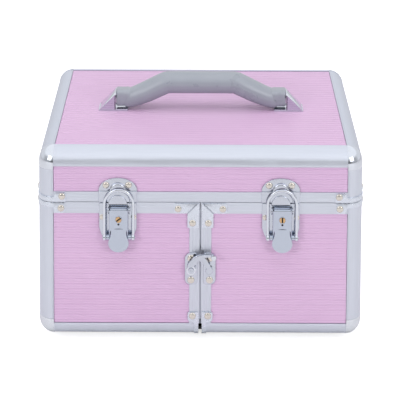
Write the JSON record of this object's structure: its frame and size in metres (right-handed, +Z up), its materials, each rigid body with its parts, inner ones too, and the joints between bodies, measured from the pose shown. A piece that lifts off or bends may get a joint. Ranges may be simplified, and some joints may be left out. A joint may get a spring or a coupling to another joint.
{
  "type": "makeup train case",
  "caption": "Boxy makeup train case with ridged panels in rounded metal rails, a hinged lid, two swing-out front doors with trays, draw latches, a hook latch and a folding carry handle.",
  "frame": {"origin": "on the ground plane, under the middle of the overall outline; the middle of the box itself is 3.1 mm behind it, because the front latches stand out further than the rear hinges", "axes": "+X to the right of a person facing the front, +Y from the front to the back, +Z up; the doors and latches are on the -Y side"},
  "size_m": [0.3088, 0.2374, 0.2222],
  "materials": {
    "ridged_panel": "fine horizontal ridges, satin",
    "floor_board": "textured black board",
    "satin_aluminium": "satin anodised extrusion",
    "chrome_fittings": "polished",
    "bright_steel_fittings": "bright plated pressing",
    "hinge_steel": "nickel plated",
    "rivet_nickel": "nickel plated domes",
    "key_brass": "turned brass",
    "grip_plastic": "satin gloss moulding",
    "tray_plastic": "flock-lined moulding",
    "lining_fabric": "padded black fabric",
    "mirror_glass": "silvered glass",
    "foot_rubber": "matte rubber"
  },
  "bodies": {
    "body": {"back_bottom_rails": "satin_aluminium", "back_lining": "lining_fabric", "back_panel": "ridged_panel", "back_top_rail": "satin_aluminium", "body_fasteners": "rivet_nickel", "door_hinge_fixed_leaves": "hinge_steel", "floor_lining": "lining_fabric", "floor_panel": "floor_board", "hinge_pins": "hinge_steel", "lid_hinge_lower_leaves": "hinge_steel", "rear_ball_corners": "chrome_fittings", "rear_corner_rails": "satin_aluminium", "rubber_feet": "foot_rubber"},
    "door_left": {"door_left_ball_corner": "chrome_fittings", "door_left_bottom_rails": "satin_aluminium", "door_left_brackets": "bright_steel_fittings", "door_left_corner_rail": "satin_aluminium", "door_left_edge_rails": "satin_aluminium", "door_left_fasteners": "rivet_nickel", "door_left_hinge_leaf": "hinge_steel", "door_left_latch_base": "chrome_fittings", "door_left_lining": "lining_fabric", "door_left_panels": "ridged_panel", "door_left_tray": "tray_plastic", "hook_pivot_plate": "chrome_fittings"},
    "door_right": {"door_right_ball_corner": "chrome_fittings", "door_right_bottom_rails": "satin_aluminium", "door_right_brackets": "bright_steel_fittings", "door_right_corner_rail": "satin_aluminium", "door_right_edge_rails": "satin_aluminium", "door_right_fasteners": "rivet_nickel", "door_right_hinge_leaf": "hinge_steel", "door_right_latch_base": "chrome_fittings", "door_right_lining": "lining_fabric", "door_right_panels": "ridged_panel", "door_right_tray": "tray_plastic", "hook_catch_plate": "chrome_fittings"},
    "lid": {"lid_ball_corners": "chrome_fittings", "lid_corner_posts": "satin_aluminium", "lid_corner_straps": "bright_steel_fittings", "lid_fasteners": "rivet_nickel", "lid_hinge_upper_leaves": "hinge_steel", "lid_lining": "lining_fabric", "lid_mirror": "mirror_glass", "lid_seam_rails": "satin_aluminium", "lid_top_panel": "ridged_panel", "lid_top_rails": "satin_aluminium", "lid_wall_panels": "ridged_panel", "latch_keepers": "chrome_fittings", "handle_end_caps": "chrome_fittings", "handle_pins": "chrome_fittings"},
    "handle": {"handle_grip": "grip_plastic"},
    "hook": {"swing_hook": "chrome_fittings"},
    "lever_left": {"latch_left_lever": "chrome_fittings"},
    "bail_left": {"latch_left_bail": "chrome_fittings"},
    "key_left": {"latch_left_key_cylinder": "key_brass"},
    "lever_right": {"latch_right_lever": "chrome_fittings"},
    "bail_right": {"latch_right_bail": "chrome_fittings"},
    "key_right": {"latch_right_key_cylinder": "key_brass"}
  },
  "joints": [
    {"name": "lid_hinge", "type": "hinge", "parent": "body", "child": "lid", "pos_m": [0, 0.1161, 0.136], "axis": [-1, 0, 0], "range_deg": [0, 95]},
    {"name": "door_left_hinge", "type": "hinge", "parent": "body", "child": "door_left", "pos_m": [-0.15225, 0.0831, 0.0752], "axis": [0, 0, -1], "range_deg": [0, 110]},
    {"name": "door_right_hinge", "type": "hinge", "parent": "body", "child": "door_right", "pos_m": [0.15225, 0.0831, 0.0752], "axis": [0, 0, 1], "range_deg": [0, 110]},
    {"name": "handle_fold", "type": "hinge", "parent": "lid", "child": "handle", "pos_m": [0, -0.0029, 0.196], "axis": [1, 0, 0], "range_deg": [-80, 80]},
    {"name": "hook_swing", "type": "hinge", "parent": "door_left", "child": "hook", "pos_m": [-0.0084, -0.11225, 0.0736], "axis": [0, -1, 0], "range_deg": [0, 100]},
    {"name": "latch_left_lever", "type": "hinge", "parent": "door_left", "child": "lever_left", "pos_m": [-0.075, -0.1124, 0.1308], "axis": [-1, 0, 0], "range_deg": [0, 150]},
    {"name": "latch_left_bail", "type": "hinge", "parent": "lever_left", "child": "bail_left", "pos_m": [-0.075, -0.1119, 0.105], "axis": [-1, 0, 0], "range_deg": [-165, 0]},
    {"name": "latch_left_key_turn", "type": "hinge", "parent": "lever_left", "child": "key_left", "pos_m": [-0.075, -0.1129, 0.1237], "axis": [0, -1, 0], "range_deg": [0, 90]},
    {"name": "latch_right_lever", "type": "hinge", "parent": "door_right", "child": "lever_right", "pos_m": [0.075, -0.1124, 0.1308], "axis": [-1, 0, 0], "range_deg": [0, 150]},
    {"name": "latch_right_bail", "type": "hinge", "parent": "lever_right", "child": "bail_right", "pos_m": [0.075, -0.1119, 0.105], "axis": [-1, 0, 0], "range_deg": [-165, 0]},
    {"name": "latch_right_key_turn", "type": "hinge", "parent": "lever_right", "child": "key_right", "pos_m": [0.075, -0.1129, 0.1237], "axis": [0, -1, 0], "range_deg": [0, 90]}
  ],
  "couplings": [
    {"joint": "door_right_hinge", "follows": "door_left_hinge", "ratio": 1},
    {"joint": "latch_left_bail", "follows": "latch_left_lever", "ratio": -1.067},
    {"joint": "latch_right_bail", "follows": "latch_right_lever", "ratio": -1.067}
  ]
}
